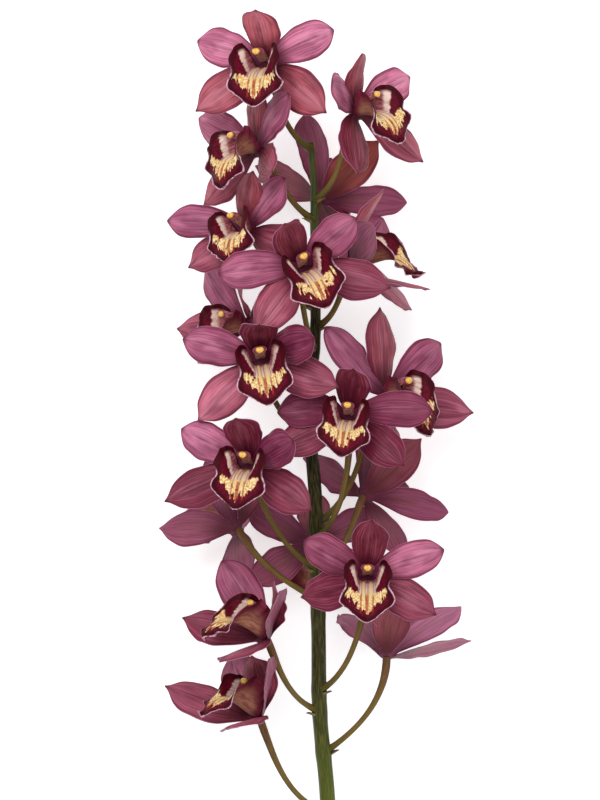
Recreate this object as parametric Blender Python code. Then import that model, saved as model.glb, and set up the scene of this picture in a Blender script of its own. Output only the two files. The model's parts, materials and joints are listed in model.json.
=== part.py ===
"""A cymbidium orchid stem, cut and laid on a table.

Metres, +Z up. +Y runs along the stem from its cut end to the top bloom, and +X is to the right as
the spray is looked down on. One node holds the green stem with its stalks and bracts. Each bloom
adds three nodes: its five tepals, its lip and its column. Lengths in the tables are millimetres.
"""

import math

import bmesh
import bpy
from mathutils import Matrix, Vector

MM = 0.001

# The middle of the whole spray's box, in the layout that the tables below use.
LAYOUT_MIDDLE_X = 11.5
LAYOUT_MIDDLE_Y = 320.4

# The stem: points along its axis (across, along, above the table), and radii at places along it.
STEM_LINE = (
    (24, 0, 5.4),
    (21, 70, 14),
    (18, 135, 27),
    (13, 190, 41),
    (12, 250, 52),
    (10, 330, 60),
    (6, 385, 62),
    (10, 440, 62),
    (9, 500, 62),
    (9, 530, 63),
    (7, 562, 67),
)
STEM_RADII = ((0, 5.4), (135, 5.1), (250, 4.7), (350, 4.3), (430, 3.5), (500, 2.4), (562, 1.8))
STEM_SIDES = 9
STEM_STEPS = 16

# The stalks that carry the blooms, and the small bract under each.
STALK_SIDES = 6
STALK_STEPS = 5
STALK_RADII = ((0, 1.7), (0.5, 1.9), (0.85, 2.6), (1, 2.4))
BRACT_LENGTH = 7.0
BRACT_WIDTH = 4.4
BRACT_THICK = 0.9
SEAT_GAP = 0.3

# The five tepals: angle from straight up (positive to the left), length, half width, tilt to the
# front at the base and at the tip, how far the edges curl back, and the height of the whorl.
TEPALS = {
    "dorsal": (0, 51, 13.5, 34, 28, 30, -0.6),
    "petal_left": (58, 52, 13, 28, 4, 16, 0.9),
    "petal_right": (-58, 52, 13, 28, 4, 16, 0.9),
    "sepal_left": (122, 52, 14, 22, 0, 20, -0.6),
    "sepal_right": (-122, 52, 14, 22, 0, 20, -0.6),
}
TEPAL_ROWS = (0, 0.18, 0.4, 0.64, 0.86, 1)
TEPAL_COLUMNS = (-1, -0.5, 0, 0.5, 1)
TEPAL_THICK = 1.1
STAR = ("dorsal", "petal_right", "sepal_right", "sepal_left", "petal_left")
CLAW_SHARE = 0.27
WIDEST_AT = 0.52
MIDRIB_STEPS = 40
HUB_RADIUS = 5.2
HUB_FRONT = 0.7
HUB_BACK = -3.4
HUB_SEAT_RADIUS = 2.9

# The lip is one sheet: its middle line (up, forward), its half widths measured round the sheet,
# how steeply its sides stand and how far they flare out again, each at places along it. The floor
# turns up, and the side flares, over a distance from the middle line.
LIP_LINE = ((-2.6, 0.9), (-4.4, 8.5), (-7, 16), (-10.4, 23), (-16.5, 28.3), (-24.5, 30.2), (-32, 29.3))
LIP_HALF_WIDTHS = (
    (0, 5), (0.1, 12.5), (0.18, 20), (0.26, 24), (0.35, 25), (0.43, 25), (0.5, 22.8),
    (0.56, 19.6), (0.6, 18.4), (0.68, 19.5), (0.76, 17), (0.86, 11.5), (0.94, 6), (1, 1.4),
)
LIP_SIDE_ANGLES = (
    (0, 80), (0.2, 78), (0.3, 74), (0.44, 66), (0.54, 42), (0.62, 8), (0.72, -14), (1, -26),
)
LIP_FLARES = ((0, 0), (0.2, 0), (0.36, 18), (0.5, 34), (0.6, 6), (1, 0))
LIP_FLOOR = (2.0, 8.5)
LIP_FLARE = (13.0, 25.0)
LIP_ROWS = (0, 0.13, 0.26, 0.38, 0.5, 0.6, 0.7, 0.85, 1)
LIP_COLUMNS = (-1, -0.66, -0.33, 0, 0.33, 0.66, 1)
LIP_THICK = 1.0

# The column arches over the lip: its middle line (up, forward), half widths and half depths.
COLUMN_LINE = ((1.8, 1.9), (3.4, 7), (5, 13), (5.8, 19), (5.2, 23.5))
COLUMN_HALF_WIDTHS = (3.6, 3.8, 4.3, 5, 3.6)
COLUMN_HALF_DEPTHS = (1.9, 1.8, 2.1, 2.5, 2)
COLUMN_SIDES = 6

# The blooms from the top down: centre (across, along, above the table), turn to the right, tilt
# up the stem, roll to the left, size, and where along the stem the stalk leaves it.
BLOOMS = {
    "bloom_01": ((-22, 610, 92), (-15, 2, 1), 0.97, 558),
    "bloom_02": ((37, 581, 80), (39, 12, 13), 0.94, 525),
    "bloom_03": ((-28, 557, 78), (-47, 6, 3), 0.97, 512),
    "bloom_04": ((14, 527, 42), (145, 30, 55), 1.0, 473),
    "bloom_05": ((35, 481, 63), (62, 36, 17), 1.0, 442),
    "bloom_06": ((-34, 505, 74), (-29, 10, 11), 0.9, 455),
    "bloom_07": ((2, 479, 100), (6, 5, 23), 0.98, 428),
    "bloom_08": ((-35, 443, 48), (-53, 8, -15), 0.93, 405),
    "bloom_09": ((-25, 420, 97), (1, 4, 9), 0.97, 368),
    "bloom_10": ((56, 398, 56), (40, 10, 9), 1.03, 315),
    "bloom_11": ((31, 384, 92), (-4, 8, -6), 0.92, 306),
    "bloom_12": ((-33, 353, 97), (-10, 6, -5), 0.95, 285),
    "bloom_13": ((-42, 312, 50), (-140, 25, 28), 1.0, 265),
    "bloom_14": ((9, 300, 34), (180, -20, 0), 0.9, 256),
    "bloom_15": ((43, 333, 44), (140, 30, 55), 1.0, 282),
    "bloom_16": ((43, 282, 98), (-1, 5, -1), 0.93, 205),
    "bloom_17": ((-23, 243, 76), (-47, 46, -18), 1.06, 191),
    "bloom_18": ((-28, 191, 62), (-44, 48, -8), 1.06, 122),
    "bloom_19": ((57, 229, 46), (166, 62, 8), 1.01, 163),
}
# Tepals that differ from the common bloom: swing, extra tilt at the base and at the tip, and the
# share of the common length.
BENDS = {
    "bloom_01": {
        "dorsal": (-10, 17, 34, 0.91), "petal_left": (15, -2, -22, 0.88),
        "petal_right": (-15, -1, -3, 0.97), "sepal_left": (3, 3, 2, 0.99),
        "sepal_right": (-9, -2, -2, 0.99),
    },
    "bloom_02": {
        "dorsal": (20, 12, 20, 0.86), "petal_left": (9, 14, 23, 0.95),
        "petal_right": (-21, -4, -13, 0.95), "sepal_left": (28, 5, 10, 1.02),
        "sepal_right": (-23, -5, -1, 1.07),
    },
    "bloom_03": {
        "dorsal": (-30, 2, -20, 0.83), "petal_left": (6, -2, -6, 0.96),
        "sepal_left": (9, -3, -3, 1), "sepal_right": (4, 13, 23, 0.96),
    },
    "bloom_04": {"petal_left": (0, 16, 16, 1)},
    "bloom_05": {
        "dorsal": (-7, 28, 44, 1.08), "petal_left": (19, 26, 46, 1), "petal_right": (-16, 16, 18, 0.82),
        "sepal_left": (37, 23, 39, 1.15), "sepal_right": (-25, -10, -12, 1.03),
    },
    "bloom_06": {
        "dorsal": (-38, 6, -6, 0.82), "petal_left": (22, 1, 7, 1.06),
        "petal_right": (-4, 5, 7, 0.95), "sepal_left": (-11, 2, -3, 0.91),
        "sepal_right": (0, -10, -10, 0.95),
    },
    "bloom_07": {
        "dorsal": (16, 20, 37, 0.92), "petal_left": (18, -6, -6, 1.02),
        "petal_right": (-15, 12, 8, 0.86), "sepal_left": (-2, 1, 2, 0.96),
        "sepal_right": (-6, -3, 0, 1.04),
    },
    "bloom_08": {
        "dorsal": (-41, 15, 14, 0.86), "sepal_left": (-16, 10, 20, 1.03),
        "sepal_right": (-12, -8, -8, 0.95),
    },
    "bloom_09": {
        "dorsal": (-8, 28, 53, 0.94), "petal_left": (11, 1, 0, 0.97),
        "petal_right": (-29, 25, 34, 0.88), "sepal_left": (4, -4, -2, 1.03),
        "sepal_right": (4, 5, 9, 1),
    },
    "bloom_10": {
        "dorsal": (4, -9, -14, 1.03), "petal_left": (-27, -18, -14, 1.12),
        "petal_right": (-5, -2, -6, 0.96), "sepal_left": (29, 12, 21, 1.01),
        "sepal_right": (9, 8, 19, 1.06),
    },
    "bloom_11": {
        "dorsal": (-7, 19, 38, 0.92), "petal_left": (46, 3, -8, 0.91),
        "petal_right": (-29, -9, -8, 1.07), "sepal_right": (-5, 2, 2, 0.96),
    },
    "bloom_12": {
        "dorsal": (11, 21, 39, 0.94), "petal_left": (11, 4, -2, 0.91),
        "petal_right": (-7, 21, 34, 0.91), "sepal_left": (-3, -3, 3, 1.09),
        "sepal_right": (4, 0, 0, 0.98),
    },
    "bloom_13": {"petal_left": (0, 25, 25, 1)},
    "bloom_14": {
        "petal_right": (0, -14, -14, 1), "sepal_right": (0, -10, -10, 1),
    },
    "bloom_15": {"petal_right": (10, 28, 20, 1)},
    "bloom_16": {
        "dorsal": (-5, 11, 20, 0.94), "petal_left": (5, 6, 6, 0.93),
        "petal_right": (-15, -3, -2, 1.01), "sepal_left": (-17, 11, 13, 0.9),
        "sepal_right": (5, 1, 0, 0.97),
    },
    "bloom_17": {
        "dorsal": (-16, 14, 34, 0.68), "petal_left": (14, 17, 34, 1), "petal_right": (-7, 23, 41, 0.88),
        "sepal_left": (-1, 12, 26, 0.97), "sepal_right": (-30, 15, 26, 0.92),
    },
    "bloom_18": {
        "dorsal": (22, 22, 32, 0.66), "petal_left": (-3, 1, 3, 0.9), "petal_right": (-5, 27, 55, 0.88),
        "sepal_left": (-10, 19, 37, 1.08), "sepal_right": (-28, 20, 33, 0.92),
    },
    "bloom_19": {
        "dorsal": (11, -1, -2, 0.98), "petal_left": (3, 6, 16, 1.05), "petal_right": (27, 4, -12, 0.84),
        "sepal_left": (-17, 8, 17, 1.06), "sepal_right": (2, 24, 40, 1),
    },
}


def smooth(low, high, value):
    """0 up to low, 1 from high on, and a soft step between."""
    share = min(1.0, max(0.0, (value - low) / (high - low)))
    return share * share * (3 - 2 * share)


def between(table, place):
    """The value at a place, from rows of (place, value)."""
    for (low, first), (high, second) in zip(table, table[1:]):
        if place <= high:
            share = max(0.0, (place - low) / (high - low))
            return first + (second - first) * share
    return table[-1][1]


def along_line(points, share):
    """The point at a share of a smooth curve through evenly counted points."""
    points = [Vector(p) for p in points]
    place = min(max(share, 0.0), 1.0) * (len(points) - 1)
    i = min(int(place), len(points) - 2)
    t = place - i
    p1, p2 = points[i], points[i + 1]
    p0 = points[i - 1] if i else p1 * 2 - p2
    p3 = points[i + 2] if i + 2 < len(points) else p2 * 2 - p1
    return 0.5 * (
        p1 * 2 + (p2 - p0) * t + (p0 * 2 - p1 * 5 + p2 * 4 - p3) * t**2
        + (p1 * 3 - p0 - p2 * 3 + p3) * t**3
    )  # fmt: skip


def stem_point(y):
    """The point of the stem's axis at a distance along the table."""
    low, high = 0.0, 1.0
    for _ in range(30):
        middle = (low + high) / 2
        if along_line(STEM_LINE, middle).y < y:
            low = middle
        else:
            high = middle
    return along_line(STEM_LINE, low)


def turned(angles):
    """The rotation of a bloom that faces up out of the table and is then rolled, tilted, turned."""
    turn, tilt, roll = (math.radians(a) for a in angles)
    return (
        Matrix.Rotation(turn, 3, "Y")
        @ Matrix.Rotation(-tilt, 3, "X")
        @ Matrix.Rotation(roll, 3, "Z")
    )


def new_object(name, mesh_data, material, carrier=None):
    """A bmesh in layout millimetres becomes an object in metres, under its carrier if it has one."""
    middle = Vector((LAYOUT_MIDDLE_X, LAYOUT_MIDDLE_Y, 0))
    to_carrier = carrier.matrix_world.inverted() if carrier else Matrix()
    for vertex in mesh_data.verts:
        vertex.co = to_carrier @ ((vertex.co - middle) * MM)
    bmesh.ops.recalc_face_normals(mesh_data, faces=mesh_data.faces)
    mesh = bpy.data.meshes.new(name)
    mesh_data.to_mesh(mesh)
    mesh_data.free()
    mesh.materials.append(material)
    made = bpy.data.objects.new(name, mesh)
    made.parent = carrier
    bpy.context.scene.collection.objects.link(made)
    return made


def new_carrier(name, centre, rotation):
    """An empty at the middle of a bloom, turned as the bloom is."""
    carrier = bpy.data.objects.new(name, None)
    carrier.location = (Vector(centre) - Vector((LAYOUT_MIDDLE_X, LAYOUT_MIDDLE_Y, 0))) * MM
    carrier.rotation_euler = rotation.to_euler()
    carrier.empty_display_size = 10 * MM
    bpy.context.scene.collection.objects.link(carrier)
    bpy.context.view_layer.update()
    return carrier


def new_material(name, colour, roughness):
    material = bpy.data.materials.new(name)
    material.use_nodes = True
    shader = material.node_tree.nodes["Principled BSDF"]
    shader.inputs["Base Color"].default_value = (*colour, 1)
    shader.inputs["Roughness"].default_value = roughness
    shader.inputs["Metallic"].default_value = 0
    return material


def skin(mesh_data, front, back, close_first=True, close_last=True):
    """Faces round a blade whose rows of front and back vertices are given, split alike."""
    for i in range(len(front) - 1):
        for j in range(len(front[i]) - 1):
            for rows, flip in ((front, False), (back, True)):
                a, b = rows[i][j], rows[i][j + 1]
                c, d = rows[i + 1][j + 1], rows[i + 1][j]
                for corners in ((a, b, c), (a, c, d)):
                    corners = list(dict.fromkeys(corners))
                    if len(corners) == 3:
                        mesh_data.faces.new(corners[::-1] if flip else corners)
        for j, flip in ((0, True), (-1, False)):
            a, b = front[i][j], back[i][j]
            c, d = back[i + 1][j], front[i + 1][j]
            corners = (a, b, c, d)
            mesh_data.faces.new(corners[::-1] if flip else corners)
    for i, wanted, flip in ((0, close_first, False), (-1, close_last, True)):
        for j in range(len(front[i]) - 1):
            corners = list(dict.fromkeys((front[i][j], front[i][j + 1], back[i][j + 1], back[i][j])))
            if wanted and len(corners) == 4:
                mesh_data.faces.new(corners[::-1] if flip else corners)


def tepal_half_width(s, half_width):
    """Half the blade's width at a share of its length: a claw, widest past the middle, round tip."""
    if s < WIDEST_AT:
        share = CLAW_SHARE + (1 - CLAW_SHARE) * math.sin(math.pi / 2 * s / WIDEST_AT)
    else:
        share = (1 - ((s - WIDEST_AT) / (1 - WIDEST_AT)) ** 2.2) ** 0.72
    return half_width * share


def tepal_frames(kind, bend):
    """Points of the midrib with their side and front directions, at TEPAL_ROWS."""
    angle, length, _, tilt_base, tilt_tip, _, height = TEPALS[kind]
    swing, more_base, more_tip, length_share = bend
    point = None
    frames = []
    rows = list(TEPAL_ROWS)
    for step in range(MIDRIB_STEPS + 1):
        s = step / MIDRIB_STEPS
        turn = math.radians(angle + swing * smooth(-0.3, 0.6, s))
        tilt = math.radians(
            tilt_base + more_base + (tilt_tip + more_tip - tilt_base - more_base) * smooth(0, 1, s)
        )
        outward = Vector((-math.sin(turn), math.cos(turn), 0))
        side = Vector((math.cos(turn), math.sin(turn), 0))
        along = outward * math.cos(tilt) + Vector((0, 0, math.sin(tilt)))
        if point is None:
            point = outward * HUB_RADIUS + Vector((0, 0, height))
        else:
            point = point + along * (length * length_share / MIDRIB_STEPS)
        while rows and s >= rows[0] - 1e-6:
            rows.pop(0)
            frames.append((point.copy(), side, side.cross(along)))
    return frames


def tepal_rows(kind, bend, place):
    """Front and back points of one tepal in the layout, pressed flat where it meets the table."""
    _, _, half_width, _, _, curl, _ = TEPALS[kind]
    front, back = [], []
    for s, (point, side, normal) in zip(TEPAL_ROWS, tepal_frames(kind, bend)):
        width = tepal_half_width(s, half_width)
        bow = math.radians(curl) * smooth(0, 0.35, s)
        columns = TEPAL_COLUMNS if width > 0 else (0,)
        pairs = []
        for t in columns:
            out = width * (math.sin(bow * t) / bow if bow else t)
            down = width * ((1 - math.cos(bow * t)) / bow if bow else 0)
            middle = point + side * out - normal * down
            half = normal * (TEPAL_THICK * (0.5 - 0.12 * abs(t)))
            pair = [place(middle + half), place(middle - half)]
            lift = max(0.0, -min(pair[0].z, pair[1].z))
            pairs.append([corner + Vector((0, 0, lift)) for corner in pair])
        spread = len(TEPAL_COLUMNS) // len(columns)
        front.append([pair[0] for pair in pairs] * spread)
        back.append([pair[1] for pair in pairs] * spread)
    return front, back


def vertices(mesh_data, rows):
    """Vertices for rows of points; points that coincide in a row share one vertex."""
    made = []
    for row in rows:
        kept = {}
        for point in row:
            key = point.to_tuple(6)
            if key not in kept:
                kept[key] = mesh_data.verts.new(point)
        made.append([kept[point.to_tuple(6)] for point in row])
    return made


def build_tepals(name, place, bends, material, carrier):
    """Five tepals joined round a small hub, which ends behind in the flat seat of the stalk."""
    mesh_data = bmesh.new()
    rims = []
    for kind in STAR:
        front, back = tepal_rows(kind, bends.get(kind, (0, 0, 0, 1)), place)
        front, back = vertices(mesh_data, front), vertices(mesh_data, back)
        skin(mesh_data, front, back, close_first=False, close_last=False)
        rims.append((front[0], back[0]))
    middle = mesh_data.verts.new(place(Vector((0, 0, HUB_FRONT))))
    seat = []
    for k in range(len(rims)):
        (front, back), (next_front, next_back) = rims[k], rims[(k + 1) % len(rims)]
        for j in range(len(front) - 1):
            mesh_data.faces.new((middle, front[j + 1], front[j]))
        mesh_data.faces.new((middle, next_front[0], front[-1]))
        mesh_data.faces.new((front[-1], next_front[0], next_back[0], back[-1]))
        turn = math.radians(TEPALS[STAR[k]][0])
        outward = Vector((-math.sin(turn), math.cos(turn), 0))
        seat.append(mesh_data.verts.new(place(outward * HUB_SEAT_RADIUS + Vector((0, 0, HUB_BACK)))))
    for k in range(len(rims)):
        back, next_back = rims[k][1], rims[(k + 1) % len(rims)][1]
        for j in range(len(back) - 1):
            mesh_data.faces.new((seat[k], back[j], back[j + 1]))
        mesh_data.faces.new((seat[k], back[-1], seat[(k + 1) % len(seat)]))
        mesh_data.faces.new((seat[(k + 1) % len(seat)], back[-1], next_back[0]))
    mesh_data.faces.new(seat)
    return new_object(name, mesh_data, material, carrier)


def lip_point(u, v):
    """The middle of the lip's sheet, and its inward normal, at a share along and across it."""
    step = 0.004
    line = [Vector((0, up, forward)) for up, forward in LIP_LINE]
    centre = along_line(line, u)
    along = (along_line(line, min(1, u + step)) - along_line(line, max(0, u - step))).normalized()
    inward = Vector((0, along.z, -along.y))
    reach = between(LIP_HALF_WIDTHS, u) * abs(v)
    steep = math.radians(between(LIP_SIDE_ANGLES, u))
    flare = math.radians(between(LIP_FLARES, u))
    pieces = 24
    out = up = angle = 0.0
    for i in range(pieces):
        gone = reach * (i + 0.5) / pieces
        angle = steep * smooth(*LIP_FLOOR, gone) - flare * smooth(*LIP_FLARE, gone)
        out += math.cos(angle) * reach / pieces
        up += math.sin(angle) * reach / pieces
    side = 1 if v >= 0 else -1
    point = centre + Vector((side * out, 0, 0)) + inward * up
    normal = inward * math.cos(angle) - Vector((side * math.sin(angle), 0, 0))
    return point, normal


def build_lip(name, place, material, carrier):
    """The lip: a trough with two side lobes that stand beside the column, and a hanging midlobe."""
    mesh_data = bmesh.new()
    front, back = [], []
    for u in LIP_ROWS:
        sheet = [lip_point(u, v) for v in LIP_COLUMNS]
        front.append([place(point + normal * LIP_THICK / 2) for point, normal in sheet])
        back.append([place(point - normal * LIP_THICK / 2) for point, normal in sheet])
    for rows in (front, back):
        for row in rows:
            for point in row:
                point.z = max(point.z, 0.0)
    skin(mesh_data, vertices(mesh_data, front), vertices(mesh_data, back))
    return new_object(name, mesh_data, material, carrier)


def tube(mesh_data, rings):
    """Quads round a row of rings of vertices, with both ends closed."""
    for low, high in zip(rings, rings[1:]):
        for k in range(len(low)):
            n = (k + 1) % len(low)
            mesh_data.faces.new((low[k], low[n], high[n], high[k]))
    mesh_data.faces.new(rings[0][::-1])
    mesh_data.faces.new(rings[-1])


def build_column(name, place, material, carrier):
    """The column: a flattened arch, broadest just before the anther cap at its end."""
    mesh_data = bmesh.new()
    rings = []
    line = [Vector((0, up, forward)) for up, forward in COLUMN_LINE]
    for i, centre in enumerate(line):
        share = i / (len(line) - 1)
        before, after = along_line(line, share - 0.03), along_line(line, share + 0.03)
        along = (after - before).normalized() if after != before else Vector((0, 0, 1))
        up = Vector((0, along.z, -along.y))
        ring = []
        for k in range(COLUMN_SIDES):
            turn = math.tau * k / COLUMN_SIDES
            offset = Vector((math.cos(turn) * COLUMN_HALF_WIDTHS[i], 0, 0))
            offset += up * (math.sin(turn) * COLUMN_HALF_DEPTHS[i])
            ring.append(mesh_data.verts.new(place(centre + offset)))
        rings.append(ring)
    tube(mesh_data, rings)
    return new_object(name, mesh_data, material, carrier)


def swept(points, radii, sides, last_normal=None):
    """A closed round tube through points, as a bmesh in layout millimetres."""
    mesh_data = bmesh.new()
    rings = []
    across = Vector((0, 0, 1))
    for i, point in enumerate(points):
        along = (points[min(i + 1, len(points) - 1)] - points[max(i - 1, 0)]).normalized()
        if last_normal is not None and i == len(points) - 1:
            along = last_normal
        across = (across - along * across.dot(along)).normalized()
        beside = along.cross(across)
        ring = []
        for k in range(sides):
            turn = math.tau * (k + 0.5) / sides
            offset = across * math.cos(turn) + beside * math.sin(turn)
            ring.append(mesh_data.verts.new(point + offset * radii[i]))
        rings.append(ring)
    tube(mesh_data, rings)
    return mesh_data


def stalk_points(start_y, seat, facing):
    """The stalk's curve from the stem's axis to the seat behind a bloom."""
    start = stem_point(start_y)
    span = (seat - start).length
    stem_way = (stem_point(start_y + 5) - start).normalized()
    across = seat - start
    across = (across - stem_way * across.dot(stem_way)).normalized()
    first = start + (across * 0.8 + stem_way * 0.4).normalized() * span * 0.4
    last = seat - (facing * 0.7 + stem_way * 0.5).normalized() * span * 0.32
    points = []
    for step in range(STALK_STEPS + 1):
        t = step / STALK_STEPS
        points.append(
            start * (1 - t) ** 3 + first * 3 * t * (1 - t) ** 2
            + last * 3 * t**2 * (1 - t) + seat * t**3
        )  # fmt: skip
    return points


def build_bract(start_y, stalk):
    """The small pointed bract that clasps the stalk where it leaves the stem."""
    mesh_data = bmesh.new()
    start = stem_point(start_y)
    stem_way = (stem_point(start_y + 2) - start).normalized()
    out = stalk[2] - start
    out = (out - stem_way * out.dot(stem_way)).normalized()
    beside = stem_way.cross(out)
    foot = start + out * (between(STEM_RADII, start_y) - 1.2) - stem_way * 2.4
    tip = foot + (out + stem_way * 0.5).normalized() * BRACT_LENGTH
    corners = []
    for sideways, below in ((-0.5, 0), (0.5, 0), (0.5, 1), (-0.5, 1)):
        offset = beside * BRACT_WIDTH * sideways - stem_way * BRACT_THICK * below
        corners.append(mesh_data.verts.new(foot + offset))
    point = mesh_data.verts.new(tip)
    mesh_data.faces.new(corners)
    for k in range(4):
        mesh_data.faces.new((corners[k], point, corners[(k + 1) % 4]))
    return mesh_data


def build_stem(material):
    """The stem, its stalks and bracts, joined into one body."""
    steps = [i / STEM_STEPS for i in range(STEM_STEPS + 1)]
    points = [along_line(STEM_LINE, s) for s in steps]
    radii = [between(STEM_RADII, point.y) for point in points]
    mesh_data = swept(points, radii, STEM_SIDES)
    stem = new_object("stem", mesh_data, material)
    grown = bpy.data.collections.new("grown_from_stem")
    bpy.context.scene.collection.children.link(grown)
    helpers = []
    for name, (centre, angles, size, start_y) in BLOOMS.items():
        rotation = turned(angles)
        seat = Vector(centre) + rotation @ Vector((0, 0, (HUB_BACK - SEAT_GAP) * size))
        facing = rotation @ Vector((0, 0, 1))
        points = stalk_points(start_y, seat, facing)
        radii = [between(STALK_RADII, i / STALK_STEPS) for i in range(len(points))]
        stalk = new_object(name + "_stalk", swept(points, radii, STALK_SIDES, facing), material)
        bract = new_object(name + "_bract", build_bract(start_y, points), material)
        helpers += [stalk, bract]
    for helper in helpers:
        bpy.context.scene.collection.objects.unlink(helper)
        grown.objects.link(helper)
    join = stem.modifiers.new("join", "BOOLEAN")
    join.operation = "UNION"
    join.solver = "EXACT"
    join.operand_type = "COLLECTION"
    join.collection = grown
    bpy.context.view_layer.update()
    joined = bpy.data.meshes.new_from_object(
        stem.evaluated_get(bpy.context.evaluated_depsgraph_get())
    )
    stem.modifiers.clear()
    stem.data = joined
    for helper in helpers:
        bpy.data.objects.remove(helper)
    bpy.data.collections.remove(grown)
    return stem


for old in list(bpy.data.objects):
    bpy.data.objects.remove(old)

green = new_material("stem_green", (0.075, 0.11, 0.02), 0.5)
mauve = new_material("tepal_mauve", (0.30, 0.065, 0.135), 0.45)
burgundy = new_material("lip_burgundy", (0.11, 0.006, 0.03), 0.4)
cream = new_material("column_cream", (0.5, 0.27, 0.2), 0.4)

build_stem(green)
for bloom, (centre, angles, size, _) in BLOOMS.items():
    rotation = turned(angles)
    carrier = new_carrier(bloom, centre, rotation)

    def place(point, centre=Vector(centre), rotation=rotation, size=size):
        return centre + rotation @ (point * size)

    build_tepals(bloom + "_tepals", place, BENDS.get(bloom, {}), mauve, carrier)
    build_lip(bloom + "_lip", place, burgundy, carrier)
    build_column(bloom + "_column", place, cream, carrier)
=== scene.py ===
"""A cymbidium orchid stem with nineteen blooms, cut and laid on a white table.

The picture looks straight down on it. +Y runs up the stem and +Z is up from the table. The tables of
lengths are millimetres in the spray's own layout, whose middle is LAYOUT_MIDDLE.
"""

import json
from math import cos, exp, pi, radians, sin, tau

import bmesh
import bpy
from mathutils import Matrix, Vector, kdtree, noise

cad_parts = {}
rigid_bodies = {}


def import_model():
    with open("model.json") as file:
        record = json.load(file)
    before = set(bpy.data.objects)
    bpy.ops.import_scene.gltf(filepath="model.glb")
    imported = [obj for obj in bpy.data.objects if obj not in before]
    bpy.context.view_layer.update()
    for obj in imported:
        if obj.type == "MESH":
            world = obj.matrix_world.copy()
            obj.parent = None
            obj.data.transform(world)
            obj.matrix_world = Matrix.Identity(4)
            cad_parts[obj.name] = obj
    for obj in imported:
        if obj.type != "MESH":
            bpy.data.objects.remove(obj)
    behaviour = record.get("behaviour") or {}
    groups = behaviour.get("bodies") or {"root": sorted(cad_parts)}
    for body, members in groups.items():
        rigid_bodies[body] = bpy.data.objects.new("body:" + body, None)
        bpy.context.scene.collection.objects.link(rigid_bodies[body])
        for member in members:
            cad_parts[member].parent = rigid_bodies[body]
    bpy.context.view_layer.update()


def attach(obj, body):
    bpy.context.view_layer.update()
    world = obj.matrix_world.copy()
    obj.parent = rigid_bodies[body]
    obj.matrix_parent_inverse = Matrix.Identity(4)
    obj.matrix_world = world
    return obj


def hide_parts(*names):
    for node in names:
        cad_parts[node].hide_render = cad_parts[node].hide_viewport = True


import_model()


# The stem lies on a white table top of smooth painted board, under a wide white cloth that softens
# the daylight. The camera hangs over the blooms and looks straight down at them.
CAMERA_PLACE = (-0.0115, 0.0746, 2.2)
SEEN_HEIGHT = 0.520
SEEN_LEVEL = 0.060
SENSOR_HEIGHT = 24.0
LIT_PLACE = (0, 0.1, 0.05)
TABLE_REACH = 4.0


def placed(name, data, place=(0, 0, 0)):
    """A named object made of this data, at its place in the scene."""
    made = bpy.data.objects.new(name, data)
    made.location = place
    bpy.context.scene.collection.objects.link(made)
    return made


def set_sockets(node, values):
    """Gives each named socket of a node its value."""
    for socket, value in values.items():
        node.inputs[socket].default_value = value


view = bpy.data.cameras.new("view")
view.sensor_fit = "VERTICAL"
view.sensor_height = SENSOR_HEIGHT
view.lens = SENSOR_HEIGHT * (CAMERA_PLACE[2] - SEEN_LEVEL) / SEEN_HEIGHT
bpy.context.scene.camera = placed("view", view, CAMERA_PLACE)
bpy.context.scene.view_settings.view_transform = "Standard"

daylight = bpy.data.worlds.new("daylight")
daylight.use_nodes = True
set_sockets(daylight.node_tree.nodes["Background"], {"Color": (0.97, 0.98, 1.0, 1), "Strength": 0.62})
bpy.context.scene.world = daylight

for light_name, place, size, power in (
    ("white_cloth", (-0.35, 0.75, 1.6), 1.1, 17.0),
    ("far_wall", (0.8, -0.5, 1.3), 1.2, 5.0),
):
    lamp = bpy.data.lights.new(light_name, "AREA")
    lamp.shape = "DISK"
    lamp.size = size
    lamp.energy = power
    light = placed(light_name, lamp, place)
    light.rotation_euler = (Vector(LIT_PLACE) - Vector(place)).to_track_quat("-Z", "Y").to_euler()

table_mesh = bpy.data.meshes.new("table")
corners = [(x * TABLE_REACH, y * TABLE_REACH, 0) for x, y in ((-1, -1), (1, -1), (1, 1), (-1, 1))]
table_mesh.from_pydata(corners, [], [(0, 1, 2, 3)])
board = bpy.data.materials.new("painted_board")
board.use_nodes = True
set_sockets(
    board.node_tree.nodes["Principled BSDF"],
    {
        "Base Color": (0.74, 0.74, 0.74, 1),
        "Roughness": 0.8,
        "Emission Color": (1, 1, 1, 1),
        "Emission Strength": 0.56,
    },
)
table_mesh.materials.append(board)
placed("table", table_mesh)


# The flower stem: one firm green shoot, round and finely ribbed, with a waxy skin. It grew with a
# stalk for each bloom, which thickens into the ribbed ovary under the flower.
MM = 0.001
LAYOUT_MIDDLE = Vector((11.5, 320.4, 0.0))
SPRAY_LENGTH = 620
STEM_LINE = (
    (24, 0, 5.4),
    (21, 70, 14),
    (18, 135, 27),
    (13, 190, 41),
    (12, 250, 52),
    (10, 330, 60),
    (6, 385, 62),
    (10, 440, 62),
    (9, 500, 62),
    (9, 530, 63),
    (7, 562, 67),
)
STEM_RADII = ((0, 5.4), (135, 5.1), (250, 4.7), (350, 4.3), (430, 3.5), (500, 2.4), (562, 1.8))
STEM_SIDES = 28
STEM_STEPS = 150
STEM_RIBS = 9
STEM_RIB_DEPTH = 0.018
STEM_UNEVENNESS = 0.03
STEM_SWELLING = 0.35
SWELLING_REACH = 5.0
STALK_RADII = ((0, 1.75), (0.45, 1.8), (0.72, 2.2), (0.9, 2.65), (1, 2.5))
STALK_SIDES = 18
STALK_STEPS = 26
STALK_RIBS = 6
STALK_RIB_DEPTH = 0.09
STALK_UNEVENNESS = 0.05
STALK_FLARE = 1.5
FLARE_REACH = 5.0
STALK_PULLS = (0.4, 0.32)
STREAK_LENGTH = 60
SHARP_ANGLE = 50
HUB_BACK = -3.4

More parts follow.
